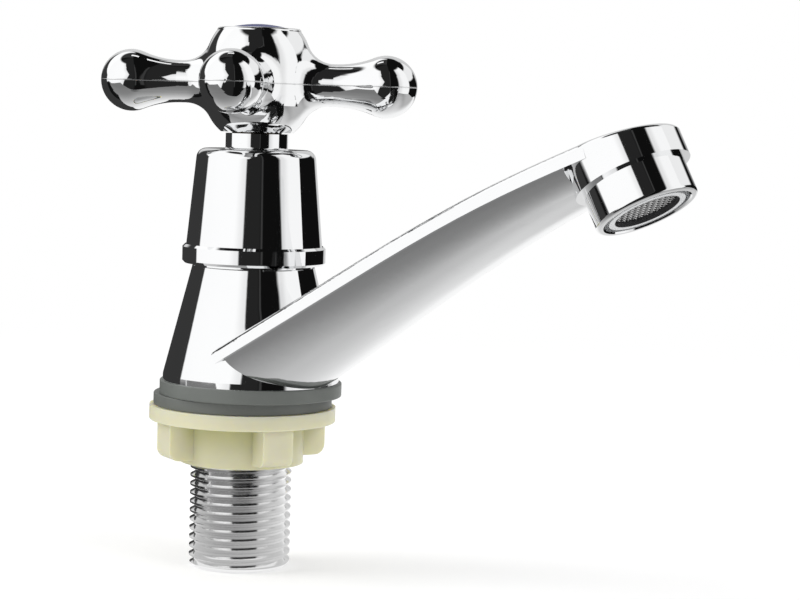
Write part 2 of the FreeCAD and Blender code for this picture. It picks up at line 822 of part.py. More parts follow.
ring("bonnet_gasket", s.housing_thread_radius + s.seating_clearance, s.housing_flange_radius, body_top,
     s.bonnet_gasket_height)
ring("seat_seal", s.seal_bore_radius, s.barrel_bore_radius - s.seating_clearance, seat_level, s.seal_height)


# Ceramic discs: two fan-shaped ports each, a quarter turn apart while the tap is shut.
def ported_disc(name, radius, bottom, port_middle):
    body = turned(name, [(0, bottom), (radius, bottom), (radius, bottom + s.disc_height), (0, bottom + s.disc_height)])
    sketch = new_sketch(body, f"{name}_port_sketch", plane="XY", offset=(0, 0, bottom))
    first = port_middle - s.disc_port_angle / 2
    last = port_middle + s.disc_port_angle / 2
    inner, outer = s.disc_port_inner_radius, s.disc_port_outer_radius
    outline(sketch, [
        (inner * cosine(first), inner * sine(first)),
        (outer * cosine(first), outer * sine(first)),
        (outer * cosine(last), outer * sine(last), outer),
        (inner * cosine(last), inner * sine(last)),
    ])
    port = extrude(body, "Pocket", f"{name}_port", sketch, s.disc_height, reverse=True)
    polar(body, port, 2, f"{name}_ports")
    return body


fixed_disc = ported_disc("fixed_disc", s.barrel_bore_radius - s.seating_clearance, disc_bottom, 90)
doc.recompute()
ears = new_sketch(fixed_disc, "ear_sketch", plane="XY", offset=(0, 0, disc_bottom))
ear_inner = s.barrel_bore_radius - 1
ear_outer = s.barrel_radius - s.running_clearance
outline(ears, [
    (ear_inner, -s.key_width / 2), (ear_outer, -s.key_width / 2),
    (ear_outer, s.key_width / 2), (ear_inner, s.key_width / 2),
])
ear = extrude(fixed_disc, "Pad", "ear", ears, s.key_height)
polar(fixed_disc, ear, 2, "ears")

rotating_radius = s.barrel_bore_radius - s.running_clearance * 2
rotating_disc = ported_disc("rotating_disc", rotating_radius, turning_disc_bottom, 0)
doc.recompute()
slot_bottom = turning_disc_top - s.disc_slot_depth
bar(rotating_disc, "Pocket", "drive_slot", slot_bottom, s.disc_slot_depth + 1, rotating_radius * 2 + 2,
    s.drive_bar_width + s.seating_clearance * 2, plane_turn=90)

# Spindle: drive bar, shoulder, sealed shaft, clip groove and splined top with a screw hole.
spindle_top = bush_bottom + s.spline_length
spline_radius = s.spindle_radius - s.seating_clearance * 2
groove_gap = s.running_clearance
clip_groove_bottom = clip_level - groove_gap
clip_groove_top = clip_level + s.circlip_thickness + groove_gap
o_ring_root = s.spindle_radius - s.o_ring_wire_radius * 2 - groove_gap
o_ring_levels = [shoulder_top + s.o_ring_level, shoulder_top + s.o_ring_level + s.o_ring_spacing]
shaft = [(0, shoulder_bottom), (rotating_radius, shoulder_bottom), (rotating_radius, shoulder_top),
         (s.spindle_radius, shoulder_top)]
for level in o_ring_levels:
    low = level - s.o_ring_wire_radius - groove_gap
    high = level + s.o_ring_wire_radius + groove_gap
    shaft += [(s.spindle_radius, low), (o_ring_root, low), (o_ring_root, high), (s.spindle_radius, high)]
shaft += [
    (s.spindle_radius, clip_groove_bottom),
    (s.circlip_groove_radius, clip_groove_bottom),
    (s.circlip_groove_radius, clip_groove_top),
    (spline_radius, clip_groove_top),
    (spline_radius, spindle_top),
    (s.screw_radius + s.seating_clearance, spindle_top),
    (s.screw_radius + s.seating_clearance, spindle_top - s.screw_hole_depth),
    (0, spindle_top - s.screw_hole_depth),
]
spindle = turned("spindle", shaft)
bar_bottom = slot_bottom + s.seating_clearance
bar(spindle, "Pad", "drive_bar", bar_bottom, shoulder_bottom - bar_bottom + 0.2, rotating_radius * 2 - 0.6,
    s.drive_bar_width, plane_turn=90)
spline_sketch = new_sketch(spindle, "spline_sketch", plane="XY", offset=(0, 0, bush_bottom))
spline_half = s.spline_root_radius * tangent(180 / s.spline_teeth) * 0.9
outline(spline_sketch, [
    (s.spline_root_radius, 0), (s.spindle_radius, -spline_half), (s.spindle_radius, spline_half),
])
spline_groove = extrude(spindle, "Pocket", "spline_groove", spline_sketch, s.spline_length + 1, reverse=True)
polar(spindle, spline_groove, s.spline_teeth, "spline")

for name, level in zip(("lower_o_ring", "upper_o_ring"), o_ring_levels):
    o_ring = new_body(name)
    place(o_ring, along_x=s.tail_setback)
    section = new_sketch(o_ring, f"{name}_sketch")
    circle(section, s.spindle_radius - s.o_ring_wire_radius, level, s.o_ring_wire_radius)
    torus = o_ring.newObject("PartDesign::Revolution", f"{name}_turning")
    torus.Profile = section
    torus.ReferenceAxis = (section, ["V_Axis"])
    torus.Angle = 360

ring("thrust_washer", turning_bore_radius, s.circlip_radius, tip_top, s.thrust_washer_height)

circlip = ring("circlip", s.circlip_groove_radius + s.seating_clearance, s.circlip_radius, clip_level,
               s.circlip_thickness)
clip_mouth = new_sketch(circlip, "clip_mouth_sketch", plane="XY", offset=(0, 0, clip_level))
mouth_inner = s.circlip_mouth_width / 2
mouth_outer = mouth_inner + s.circlip_mouth_flare
mouth_reach = s.circlip_radius + s.circlip_thickness
outline(clip_mouth, [(0, -mouth_inner), (mouth_reach, -mouth_outer), (mouth_reach, mouth_outer), (0, mouth_inner)])
extrude(circlip, "Pocket", "clip_mouth", clip_mouth, s.circlip_thickness, reverse=True)


# ---------------------------------------------------------------- cross handle
# Hub turned from one profile, four arms with ball ends, blended to the hub all round.
foot_overhang = s.hub_waist_radius - s.hub_foot_radius
foot_arc = (foot_overhang * foot_overhang + s.hub_foot_rise * s.hub_foot_rise) / (2 * foot_overhang)
top_overhang = s.hub_waist_radius - s.hub_top_radius
top_drop = s.hub_shoulder_drop - s.hub_edge_radius
top_arc = (top_overhang * top_overhang + top_drop * top_drop) / (2 * top_overhang)
cross_handle = new_body("cross_handle")
place(cross_handle, along_x=s.tail_setback)
cross_handle.Placement.Rotation = Rotation(Vector(0, 0, 1), s.arm_angle.value)
bind(cross_handle, "Placement.Rotation.Angle", s.arm_angle)
revolve(cross_handle, "Revolution", "hub", [
    (0, hub_bottom),
    (s.hub_foot_radius, hub_bottom),
    (s.hub_waist_radius, hub_bottom + s.hub_foot_rise, foot_arc),
    (s.hub_waist_radius, hub_top - s.hub_shoulder_drop),
    (s.hub_top_radius, hub_top - s.hub_edge_radius, top_arc),
    (s.hub_top_radius - s.hub_edge_radius, hub_top, s.hub_edge_radius),
    (0, hub_top),
])
gap = s.ball_reach - s.arm_neck_reach
neck = s.arm_neck_radius
ball = s.ball_radius
hollow = (gap * gap + neck * neck - ball * ball) / (2 * (ball - neck))
hollow_centre = neck + hollow
join_share = ball / (hollow + ball)
arm_sketch = new_sketch(cross_handle, "arm_sketch", offset=(0, arm_level, 0))
outline(arm_sketch, [
    (s.hub_foot_radius, 0),
    (s.hub_foot_radius, neck),
    (s.arm_neck_reach, neck),
    (s.ball_reach - gap * join_share, hollow_centre * join_share, hollow),
    (s.ball_reach + ball, 0, -ball),
])
arm = cross_handle.newObject("PartDesign::Revolution", "arm")
arm.Profile = arm_sketch
arm.ReferenceAxis = (arm_sketch, ["H_Axis"])
arm.Angle = 360
polar(cross_handle, arm, 4, "arms")
doc.recompute()


def near_hub_joint(edge):
    """True for the edges where an arm meets the hub: all their points lie on the arm's neck."""
    spots = [edge.valueAt(edge.FirstParameter + (edge.LastParameter - edge.FirstParameter) * n / 4) for n in range(5)]
    for spot in spots:
        reach = math.hypot(spot.x, spot.y)
        side = min(abs(spot.x), abs(spot.y))
        from_arm = math.hypot(side, spot.z - arm_level.value)
        if abs(from_arm - neck.value) > 0.05 or reach > s.hub_waist_radius.value + 0.1:
            return False
    return True


joint_edges = [f"Edge{n}" for n, edge in enumerate(cross_handle.Tip.Shape.Edges, start=1) if near_hub_joint(edge)]
blend = cross_handle.newObject("PartDesign::Fillet", "arm_blend")
blend.Base = (cross_handle.getObject("arms"), joint_edges)
bind(blend, "Radius", s.arm_flare_radius)
doc.recompute()

index_ledge = hub_top - s.index_recess_depth
revolve(cross_handle, "Groove", "hub_bore", [
    (0, hub_bottom - 1),
    (s.hub_recess_radius, hub_bottom - 1),
    (s.hub_recess_radius, bush_bottom),
    (s.bush_radius + s.seating_clearance, bush_bottom),
    (s.bush_radius + s.seating_clearance, bush_top),
    (s.screw_radius + s.thread_clearance, bush_top),
    (s.screw_radius + s.thread_clearance, web_top),
    (s.screw_well_radius, web_top),
    (s.screw_well_radius, index_ledge),
    (s.index_recess_radius, index_ledge),
    (s.index_recess_radius, hub_top + 1),
    (0, hub_top + 1),
])

ring("spline_bush", s.spindle_radius, s.bush_radius, bush_bottom, s.bush_length)

disc_radius = s.index_recess_radius - s.seating_clearance
dome_arc = (disc_radius * disc_radius + s.index_dome * s.index_dome) / (2 * s.index_dome)
turned("index_disc", [
    (0, index_ledge),
    (disc_radius, index_ledge),
    (disc_radius, hub_top),
    (0, hub_top + s.index_dome, dome_arc),
])

handle_screw = turned("handle_screw", [
    (0, web_top - s.screw_length),
    (s.screw_radius, web_top - s.screw_length),
    (s.screw_radius, web_top),
    (s.screw_head_radius, web_top),
    (s.screw_head_radius, web_top + s.screw_head_height * 0.6),
    (s.screw_head_radius * 0.75, web_top + s.screw_head_height),
    (0, web_top + s.screw_head_height),
])
cross_bottom = web_top + s.screw_head_height - s.screw_cross_depth
for name, along in (("screw_slot_across", 0), ("screw_slot_along", 90)):
    bar(handle_screw, "Pocket", name, cross_bottom, s.screw_cross_depth + 1, s.screw_cross_length,
        s.screw_cross_width, plane_turn=along)


# ---------------------------------------------------------------- aerator
# Its pieces are drawn upright on the aerator's face and then tilted into the nose together.
def tilt(body):
    body.Placement = Placement(Vector(), Rotation(Vector(0, -1, 0), s.nose_tilt.value))
    bind(body, "Placement.Rotation.Angle", s.nose_tilt)
    place(body, s.tail_setback + s.nose_face_reach, body_base + s.nose_face_height)


aerator_top = s.aerator_drop + s.aerator_thread_length
insert_radius = s.aerator_bore_radius - s.seating_clearance
insert_inner = insert_radius - s.insert_wall
tilt(turned("aerator_housing", [
    (s.aerator_lip_radius, 0),
    (s.aerator_radius - s.aerator_edge_radius, 0),
    (s.aerator_radius, s.aerator_edge_radius, s.aerator_edge_radius),
    (s.aerator_radius, s.aerator_drop),
    (s.aerator_thread_radius, s.aerator_drop),
    (s.aerator_thread_radius, aerator_top),
    (s.aerator_bore_radius, aerator_top),
    (s.aerator_bore_radius, s.aerator_lip_depth),
], along_x=None))

aerator_insert = turned("aerator_insert", [
    (0, s.insert_plate_level),
    (s.insert_bore_radius, s.insert_plate_level),
    (s.insert_bore_radius, s.insert_lip_level),
    (s.insert_nozzle_radius, s.insert_lip_level),
    (s.insert_nozzle_radius, s.insert_nozzle_length),
    (insert_radius, s.insert_nozzle_length),
    (insert_radius, aerator_top),
    (insert_inner, aerator_top),
    (insert_inner, s.insert_plate_level + s.insert_plate_height),
    (0, s.insert_plate_level + s.insert_plate_height),
], along_x=None)
tilt(aerator_insert)
hole_sketch = new_sketch(aerator_insert, "hole_sketch", plane="XY", offset=(0, 0, s.insert_plate_level))
circle(hole_sketch, s.insert_hole_ring, 0, s.insert_hole_radius)
hole = extrude(aerator_insert, "Pocket", "hole", hole_sketch, s.insert_plate_height, reverse=True)
polar(aerator_insert, hole, 12, "holes")

washer = turned("aerator_washer", [
    (s.filter_radius + s.seating_clearance, aerator_top),
    (s.aerator_thread_radius - s.seating_clearance, aerator_top),
    (s.aerator_thread_radius - s.seating_clearance, aerator_top + s.washer_height),
    (s.filter_radius + s.seating_clearance, aerator_top + s.washer_height),
], along_x=None)
tilt(washer)


def mesh_disc(name, radius, pitch, wire, bottom, thickness):
    """A woven screen stands as one flat face with square holes, given its thickness."""
    reach = radius.value - wire.value
    step = pitch.value
    half = (step - wire.value) / 2
    rim = Part.Wire(Part.makeCircle(radius.value, Vector(0, 0, bottom.value)))
    holes = []
    count = int(reach / step)
    for i in range(-count, count + 1):
        for j in range(-count, count + 1):
            x, y = i * step, j * step
            if math.hypot(abs(x) + half, abs(y) + half) > reach:
                continue
            ring_of_corners = [(x - half, y - half), (x - half, y + half), (x + half, y + half), (x + half, y - half)]
            points = [Vector(a, b, bottom.value) for a, b in ring_of_corners]
            holes.append(Part.makePolygon(points + points[:1]))
    face = Part.Face([rim] + holes)
    feature = doc.addObject("Part::Feature", name)
    feature.Label = name
    feature.Shape = face.extrude(Vector(0, 0, thickness.value))
    tilt(feature)
    return feature


screens = [
    mesh_disc("aerator_screen", s.insert_bore_radius - s.seating_clearance, s.screen_pitch, s.screen_wire,
              s.screen_level, s.screen_thickness),
    mesh_disc("filter_screen", s.filter_radius, s.filter_pitch, s.filter_wire, aerator_top, s.filter_thickness),
]
doc.recompute()

parts = [item for item in doc.Objects if item.TypeId == "PartDesign::Body"] + screens
os.makedirs("parts", exist_ok=True)
faults = [item.Name for item in doc.Objects if {"Invalid", "Error"} & set(item.State)]
if faults:
    raise RuntimeError(f"these did not recompute: {faults}")
for part in parts:
    if part.Shape.isNull() or not part.Shape.isValid():
        raise RuntimeError(f"{part.Label} has no valid shape")
for part in parts:
    part.Shape.exportStep(f"parts/{part.Label}.step")
    print(part.Label, round(part.Shape.Volume, 1), len(part.Shape.Solids))
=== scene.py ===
import math

import bmesh
import bpy
from mathutils import Matrix, Vector


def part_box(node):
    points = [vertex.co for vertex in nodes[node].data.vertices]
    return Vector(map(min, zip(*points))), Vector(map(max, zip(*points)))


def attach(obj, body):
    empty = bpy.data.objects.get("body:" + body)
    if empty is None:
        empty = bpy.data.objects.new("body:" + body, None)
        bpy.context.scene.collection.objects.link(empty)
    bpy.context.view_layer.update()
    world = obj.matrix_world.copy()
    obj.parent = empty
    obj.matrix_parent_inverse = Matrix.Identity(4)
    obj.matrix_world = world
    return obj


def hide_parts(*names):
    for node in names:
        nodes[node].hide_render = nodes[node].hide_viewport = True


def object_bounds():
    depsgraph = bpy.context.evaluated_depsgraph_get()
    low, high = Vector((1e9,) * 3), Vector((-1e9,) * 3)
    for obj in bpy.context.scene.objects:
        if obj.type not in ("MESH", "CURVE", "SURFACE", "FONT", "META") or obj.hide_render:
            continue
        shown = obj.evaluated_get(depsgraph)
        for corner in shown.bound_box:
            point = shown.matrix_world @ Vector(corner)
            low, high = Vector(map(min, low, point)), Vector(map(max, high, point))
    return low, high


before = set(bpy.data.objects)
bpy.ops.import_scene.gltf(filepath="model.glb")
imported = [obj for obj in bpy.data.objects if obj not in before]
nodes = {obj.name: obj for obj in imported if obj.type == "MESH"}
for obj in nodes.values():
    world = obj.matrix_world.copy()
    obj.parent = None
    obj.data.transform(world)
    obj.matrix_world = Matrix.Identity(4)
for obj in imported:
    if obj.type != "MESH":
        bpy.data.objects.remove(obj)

cad_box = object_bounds()
studio = bpy.context.scene
studio.view_settings.view_transform = "Standard"

# ------------------------------------------------------------------ camera
# A long lens on a tripod looks at the tap from the front right of the spout, a little down. It is
# held with a slight roll, so that the tap leans a little to the right in the picture.
view_azimuth = math.radians(41.6)
view_pitch = math.radians(4.72)
view_roll = math.radians(1.73)
camera_place = (0.3261, -0.3198, 0.05757)
focal_length = 100.91
sensor_width = 36
near_limit, far_limit = 0.02, 20

level_ahead = Vector((-math.sin(view_azimuth), math.cos(view_azimuth), 0))
level_right = Vector((math.cos(view_azimuth), math.sin(view_azimuth), 0))
ahead = level_ahead * math.cos(view_pitch) - Vector((0, 0, 1)) * math.sin(view_pitch)
above = level_right.cross(ahead)
right = level_right * math.cos(view_roll) + above * math.sin(view_roll)
up = above * math.cos(view_roll) - level_right * math.sin(view_roll)
lens = bpy.data.cameras.new("long_lens")
lens.sensor_width = sensor_width
lens.lens = focal_length
lens.clip_start, lens.clip_end = near_limit, far_limit
camera = bpy.data.objects.new("camera", lens)
camera.matrix_world = Matrix.Translation(camera_place) @ Matrix(
    (right, up, -ahead)).transposed().to_4x4()
studio.collection.objects.link(camera)
studio.camera = camera

# ------------------------------------------------------------------ white surround and floor
# A seamless white table and background. The floor is plain white card that takes the tap's
# shadow close by, and further out it is as white as the background that it runs into.
white = (1, 1, 1, 1)


class Value:
    """A socket's value in a node tree, so that sums of values are written as plain Python."""

    def __init__(self, tree, socket):
        self.tree = tree
        self.socket = socket

    def calculate(self, operation, *values, clamp=False):
        node = self.tree.nodes.new("ShaderNodeMath")
        node.operation = operation
        node.use_clamp = clamp
        for socket, value in zip(node.inputs, values):
            if isinstance(value, Value):
                self.tree.links.new(value.socket, socket)
            else:
                socket.default_value = value
        return Value(self.tree, node.outputs[0])

    def __add__(self, other):
        return self.calculate("ADD", self, other)

    def __radd__(self, other):
        return self.calculate("ADD", other, self)

    def __sub__(self, other):
        return self.calculate("SUBTRACT", self, other)

    def __rsub__(self, other):
        return self.calculate("SUBTRACT", other, self)

    def __mul__(self, other):
        return self.calculate("MULTIPLY", self, other)

    def __rmul__(self, other):
        return self.calculate("MULTIPLY", other, self)

    def __truediv__(self, other):
        return self.calculate("DIVIDE", self, other)

    def __abs__(self):
        return self.calculate("ABSOLUTE", self)

    def larger(self, other):
        return self.calculate("MAXIMUM", self, other)

    def smaller(self, other):
        return self.calculate("MINIMUM", self, other)

    def root(self):
        return self.calculate("SQRT", self)

    def rise(self, start, end):
        """0 before start, 1 after end, smooth between them; start may be the larger one."""
        share = (self - start) / (end - start)
        share = share.calculate("ADD", share, 0, clamp=True)
        return share * share * (3 - 2 * share)

    def between(self, first, last):
        """1 between two edges and 0 outside. An edge is a pair: where it is 0 and where it is 1."""
        return self.rise(*first) * self.rise(*last)


class Tree:
    """The node tree of a material or world, with one method that adds any node to it."""

    def __init__(self, owner):
        self.owner = owner
        owner.use_nodes = True
        self.tree = owner.node_tree
        self.tree.nodes.clear()

    def add(self, kind, settings=None, out=0, **sockets):
        """Settings are the node's own; a socket goes by its name, or by i and its number."""
        node = self.tree.nodes.new("ShaderNode" + kind)
        for name, value in (settings or {}).items():
            setattr(node, name, value)
        for name, value in sockets.items():
            by_number = name[1:].isdigit()
            socket = node.inputs[int(name[1:]) if by_number else name.replace("_", " ")]
            if isinstance(value, Value):
                self.tree.links.new(value.socket, socket)
            else:
                socket.default_value = value
        return Value(self.tree, node.outputs[out]) if len(node.outputs) else None

    def mix(self, share, *colours):
        """From the first colour to the second; each is a Value, or red, green and blue."""
        first, second = (
            colour if isinstance(colour, Value) else (*colour, 1) for colour in colours)
        return self.add("Mix", {"data_type": "RGBA"}, out=2, i0=share, i6=first, i7=second)

    def noise(self, coords, scale, detail):
        return self.add("TexNoise", Vector=coords, Scale=scale, Detail=detail)

    def glow(self, strength):
        return self.add("Emission", Color=white, Strength=strength)

    def place(self):
        """The piece's own coordinates as a vector, and its three parts in metres."""
        coords = self.add("TexCoord", out=3)
        split = self.tree.nodes.new("ShaderNodeSeparateXYZ")
        self.tree.links.new(coords.socket, split.inputs[0])
        return coords, *(Value(self.tree, socket) for socket in split.outputs)

    def ray(self, kind):
        return self.add("LightPath", out=["camera", "shadow", "diffuse", "glossy", "singular",
                                          "reflection", "transmission"].index(kind))

    def skin(self, height, **sockets):
        """The finished surface: its relief's height in metres, and the surface's own sockets."""
        bump = self.add("Bump", Strength=1.0, Distance=1.0, Height=height)
        surface = self.add("BsdfPrincipled", Normal=bump, **sockets)
        self.add("OutputMaterial", Surface=surface)
        return self.owner


def reach(x, y):
    """How far a spot is from the upright line that x and y are measured from."""
    return (x * x + y * y).root()


def oblong(half_width, half_depth):
    """The four corners of an oblong round its own middle."""
    return [(-half_width, -half_depth), (half_width, -half_depth),
            (half_width, half_depth), (-half_width, half_depth)]


def sheet(name, corners, place, paint):
    """A flat level sheet with the given corners."""
    mesh = bpy.data.meshes.new(name)
    mesh.from_pydata([(*corner, 0) for corner in corners], [], [range(len(corners))])
    mesh.materials.append(paint)
    piece = bpy.data.objects.new(name, mesh)
    piece.location = place
    studio.collection.objects.link(piece)
    return piece


room_light = 0.72
surround = Tree(bpy.data.worlds.new("white_surround"))
studio.world = surround.owner
shown = surround.ray("camera").larger(surround.ray("glossy")).larger(surround.ray("transmission"))
backdrop = surround.add("Background", Color=white, Strength=room_light + (1 - room_light) * shown)
surround.add("OutputWorld", Surface=backdrop)

floor_level = cad_box[0].z - 0.0002
floor_half = 6.0
card_white = (0.9, 0.9, 0.9, 1)
card_lift = 0.2
card_fade_start, card_fade_end = 0.1, 0.5

card = Tree(bpy.data.materials.new("white_card"))
_, card_x, card_y, _ = card.place()
card_near = card.add("AddShader", i0=card.add("BsdfDiffuse", Color=card_white),
                     i1=card.glow(card_lift * card.ray("camera")))
far_share = reach(card_x, card_y).rise(card_fade_start, card_fade_end) * card.ray("camera")
card.add("OutputMaterial",
         Surface=card.add("MixShader", i0=far_share, i1=card_near, i2=card.glow(1.0)))
floor = sheet("floor", oblong(floor_half, floor_half), (0, 0, floor_level), card.owner)
floor.visible_glossy = False

# ------------------------------------------------------------------ reflecting tent
# Chrome shows only what stands round it. A dark tent with tall white windows, a lit table and a
# light back wall gives the black and white bands, and nothing but mirror-like surfaces sees it.
tent_radius = 1.6
tent_centre = (0.02, 0, 0.045)
lining_light = 0.005
front_dusk, left_dusk = 0.014, 0.034
window_light = 1.08
far_right_share, rear_wall_share, cord_share = 0.85, 0.6, 0.035

tent_mesh = bpy.data.meshes.new("tent")
tent_shape = bmesh.new()
bmesh.ops.create_uvsphere(tent_shape, u_segments=96, v_segments=48, radius=tent_radius)
tent_shape.to_mesh(tent_mesh)
tent_shape.free()
tent = bpy.data.objects.new("tent", tent_mesh)
tent.location = tent_centre
studio.collection.objects.link(tent)
cloth = Tree(bpy.data.materials.new("tent_lining"))
_, cloth_x, cloth_y, cloth_z = cloth.place()
toward = (cloth_x * -level_ahead.x + cloth_y * -level_ahead.y) / tent_radius
across = (cloth_x * level_right.x + cloth_y * level_right.y) / tent_radius
rising = cloth_z / tent_radius

# Bearings run from the camera, to the right positive; levels from the horizon, up positive. Both
# are in degrees, and so is every edge of a window.
degrees = 180 / math.pi
bearing = across.calculate("ARCTAN2", across, toward) * degrees
level = rising.calculate("ARCSINE", rising) * degrees
side = abs(bearing)

# The left window is the large one. Its back edge leans away above a level, its front edge leans
# both ways from one, and its foot climbs toward the back.
back_edge, back_bend, back_lean = -101, 13, 1.8
front_edge, front_bend, front_lean_below, front_lean_above = -7, 25, 0.5, 0.9
foot_level, foot_bend, foot_run, foot_climb = -28, -55, 36, 0.57
window_back = back_edge - back_lean * (level - back_bend).larger(0)
window_front = (front_edge - front_lean_below * (front_bend - level).larger(0)
                - front_lean_above * (level - front_bend).larger(0))
window_foot = foot_climb * (foot_bend - bearing).larger(0).smaller(foot_run) + foot_level
left_window = (bearing - window_back).rise(-1.5, 1.5) * (bearing - window_front).rise(1.5, -1.5)
left_window = left_window * (level - window_foot).rise(-2, 2) * level.rise(61, 55)
left_shine = 1 - 0.16 * (bearing - window_front).rise(-18, -2)

right_window = bearing.between((46, 53), (97, 94)) * level.between((-28, -24), (64, 58))
right_shine = 0.78 + 0.17 * bearing.rise(55, 70)
far_right_window = bearing.between((88, 92), (152, 148)) * level.between((18, 22), (48, 44))
low_rear_wall = bearing.rise(152, 158) * level.between((-12, -8), (12, 8))
high_rear_wall = side.rise(144, 154) * level.between((6, 12), (52, 47))
cord = bearing.between((13.4, 14.6), (17.6, 16.4)) * level.between((-29, -23), (63, 57))

bright = (left_window * left_shine).larger(right_window * right_shine)
bright = bright.larger(far_right_window * far_right_share)
bright = bright.larger(low_rear_wall.larger(high_rear_wall) * rear_wall_share)
bright = bright.larger(cord * cord_share)
dusk = front_dusk * bearing.rise(17, 10) * side.rise(100, 60) + left_dusk * bearing.rise(-98, -104)
cloth.add("OutputMaterial", Surface=cloth.glow(lining_light + dusk + window_light * bright))
tent_mesh.materials.append(cloth.owner)

# The tap stands on a lit sheet of card. It is brightest at its back left and right under the
# tail, and dimmer at its back right.
card_outline = [
    (-0.06, 0.03), (-0.06, -0.09), (-0.3, -0.3), (0.0, -0.36), (0.06, -0.09), (0.09, -0.04),
    (0.25, 0.02), (0.22, 0.22), (0.1, 0.28), (-0.02, 0.5), (-0.5, 0.55),
]
paper_gap = 0.0001
front_light, middle_light, back_light, tail_light = 0.2, 0.04, 0.76, 0.95
front_line_slope, front_line_place = 0.41, 0.083
back_right_dip = 0.5
under_tail_fade = (0.0145, 0.0125)

paper = Tree(bpy.data.materials.new("lit_paper"))
_, paper_x, paper_y, _ = paper.place()
inside = paper_y - front_line_slope * paper_x + front_line_place
paper_light = (front_light + middle_light * inside.rise(-0.1, 0)
               + back_light * inside.rise(-0.02, 0.19))
back_right = paper_x.rise(0, 0.08) * paper_y.rise(0.03, 0.1)
paper_light = paper_light * (1 - back_right_dip * back_right)
paper_light = paper_light.larger(reach(paper_x, paper_y).rise(*under_tail_fade) * tail_light)
paper.add("OutputMaterial", Surface=paper.glow(paper_light))
lit_card = sheet("lit_card", card_outline, (0, 0, floor_level + paper_gap), paper.owner)

# A small lamp hangs over the handle.
lamp_half_width, lamp_half_depth = 0.02, 0.01
lamp_place = (-0.033, 0.0156, 0.213)
lamp_light = 1.1
glass = Tree(bpy.data.materials.new("lamp_glass"))
glass.add("OutputMaterial", Surface=glass.glow(lamp_light))
lamp_pane = oblong(lamp_half_width, lamp_half_depth)
handle_lamp = sheet("handle_lamp", lamp_pane, lamp_place, glass.owner)
handle_lamp.rotation_euler = (0, 0, view_azimuth)

for mirrored in (tent, lit_card, handle_lamp):
    mirrored.visible_camera = False
    mirrored.visible_diffuse = False
    mirrored.visible_shadow = False
    mirrored.visible_transmission = False
    mirrored.visible_volume_scatter = False

# Two soft boxes light the matt pieces from both sides and put the soft shadow on the floor. Each
# has its name, place, size in metres and power in watts.
soft_box_aim = Vector((0.03, 0, 0.03))
for box_name, box_place, box_size, box_power in (
    ("left_soft_box", (-0.9, -0.9, 0.9), 0.9, 9.0),
    ("right_soft_box", (1.1, 0.1, 0.9), 0.7, 5.0),
):
    lamp = bpy.data.lights.new(box_name, "AREA")
    lamp.shape = "SQUARE"
    lamp.size = box_size
    lamp.energy = box_power
    holder = bpy.data.objects.new(box_name, lamp)
    holder.location = box_place
    holder.rotation_mode = "QUATERNION"
    holder.rotation_quaternion = (soft_box_aim - Vector(box_place)).to_track_quat("-Z", "Y")
    holder.visible_glossy = False
    studio.collection.objects.link(holder)

# ------------------------------------------------------------------ body casting
# Column, spout and nose are one brass casting, linished and buffed by hand, then nickel and
# chromium plated. The buffing leaves slow waves, so its reflections have uneven edges.
plate_tint = (0.9, 0.905, 0.91)
plate_gloss = 0.025
smear_scale, smear_rough, smear_dim = 70.0, 0.02, 0.97
haze_scale, haze_rough = 1100.0, 0.015
hand_buffing = [(60.0, 0.00005), (900.0, 0.0000012)]


def toned(colour, share):
    """A colour made darker or lighter."""
    return [min(1, part * share) for part in colour]


def chrome(name, waves, gloss=plate_gloss, tint=plate_tint, relief=None):
    """Chromium plate or bright steel. Waves are (noise scale, height in metres) of what lies
    under the shine, and relief turns a spot's level into the height of a ridge there."""
    tree = Tree(bpy.data.materials.new(name))
    coords, _, _, height = tree.place()
    surface_height = relief(height) if relief else 0
    for scale, depth in waves:
        surface_height = surface_height + tree.noise(coords, scale, 1.0) * depth
    smear = tree.noise(coords, smear_scale, 4.0)
    haze = tree.noise(coords, haze_scale, 2.0)
    return tree.skin(surface_height, Base_Color=tree.mix(smear, toned(tint, smear_dim), tint),
                     Metallic=1.0, Roughness=gloss + smear_rough * smear + haze_rough * haze)


def dress(node, paint):
    """Gives a piece of the frame its finish."""
    mesh = nodes[node].data
    mesh.materials.clear()
    mesh.materials.append(paint)


dress("tap_body", chrome("body_chrome", hand_buffing))

# ------------------------------------------------------------------ bell cover and its collar
# The cover is spun from brass sheet on a lathe and plated, so it is truer than the casting. The
# collar is a turned sleeve that stands on the cover round the headwork's tip.
spinning = [(45.0, 0.000012)]
turning = [(45.0, 0.000006)]
dress("shroud", chrome("shroud_chrome", spinning))
dress("shroud_collar", chrome("collar_chrome", turning))

# ------------------------------------------------------------------ cross handle
# Zinc die casting in one piece, four arms with ball ends. The two halves of the die leave a fine
# line at the arms' mid height, which the buffing has only half removed, and then it is plated.
die_line_level = 0.0630
die_line_edge = (0.000105, 0.000035)
die_line_height = 0.00004
die_slope = 0.05
die_slope_reach = 0.0022
small_buffing = [(110.0, 0.00004), (700.0, 0.0000035)]


def die_line(height):
    """The fine ridge where the die's halves met, with the metal falling away from it."""
    off = abs(height - die_line_level)
    ridge = off.rise(*die_line_edge) * die_line_height
    return ridge - off.smaller(die_slope_reach) * die_slope


dress("cross_handle", chrome("handle_chrome", small_buffing, relief=die_line))

# ------------------------------------------------------------------ index disc
# A small domed button of dark blue plastic, pressed in the hub's top over the handle's screw. It
# is plain, with a smooth moulded skin.
index_colour = (0.008, 0.017, 0.15)
index_shine = 0.2
cloud_scale = 180.0
skin_rough = 0.12


